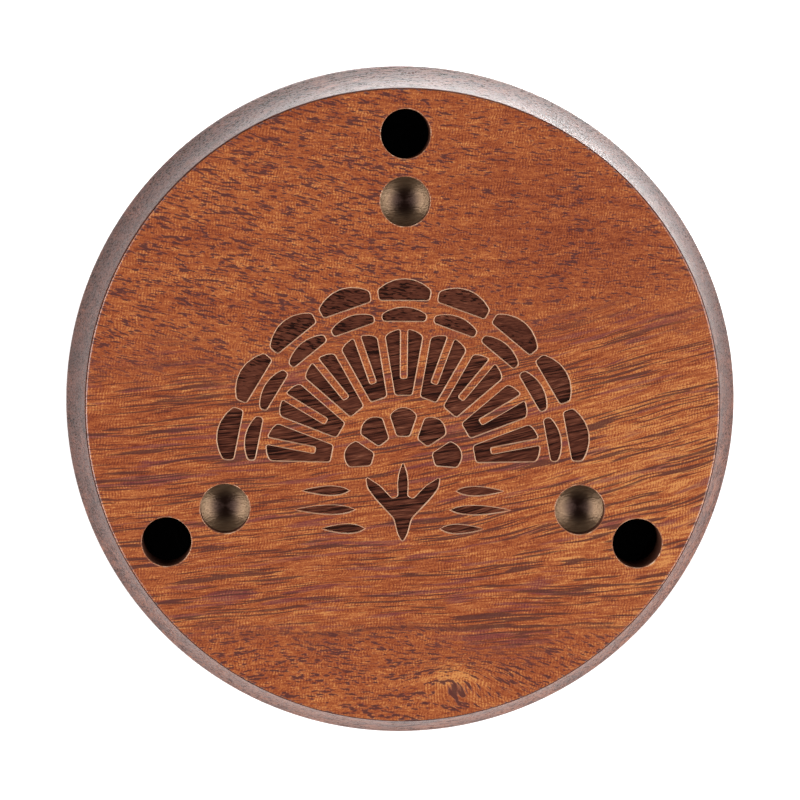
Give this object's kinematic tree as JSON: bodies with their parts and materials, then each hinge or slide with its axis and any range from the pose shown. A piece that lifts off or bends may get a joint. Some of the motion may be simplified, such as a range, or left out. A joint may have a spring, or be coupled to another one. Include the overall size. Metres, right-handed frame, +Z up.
{
  "type": "pot turkey call",
  "caption": "Round turned-wood friction call: a flared pot with sound ports and blind holes in its underside, holding a slate playing surface over a glass sound board.",
  "frame": {"origin": "centre of the rim's plane on the pot's axis, where the call stands when it lies with its underside up", "axes": "+Z up along the pot's axis, out of the underside; +Y from the axis through the first sound port; +X to the right with +Y away"},
  "size_m": [0.096, 0.096, 0.022],
  "materials": {
    "pot_wood": "satin lacquer, reddish-brown pored hardwood",
    "slate": "conditioned matt slate",
    "board_glass": "clear float glass with ground edge",
    "adhesive": "cured translucent adhesive"
  },
  "bodies": {
    "root": {"pot_body": "pot_wood", "playing_surface": "slate", "sound_board": "board_glass", "playing_surface_glue": "adhesive", "sound_board_glue": "adhesive"}
  },
  "joints": []
}
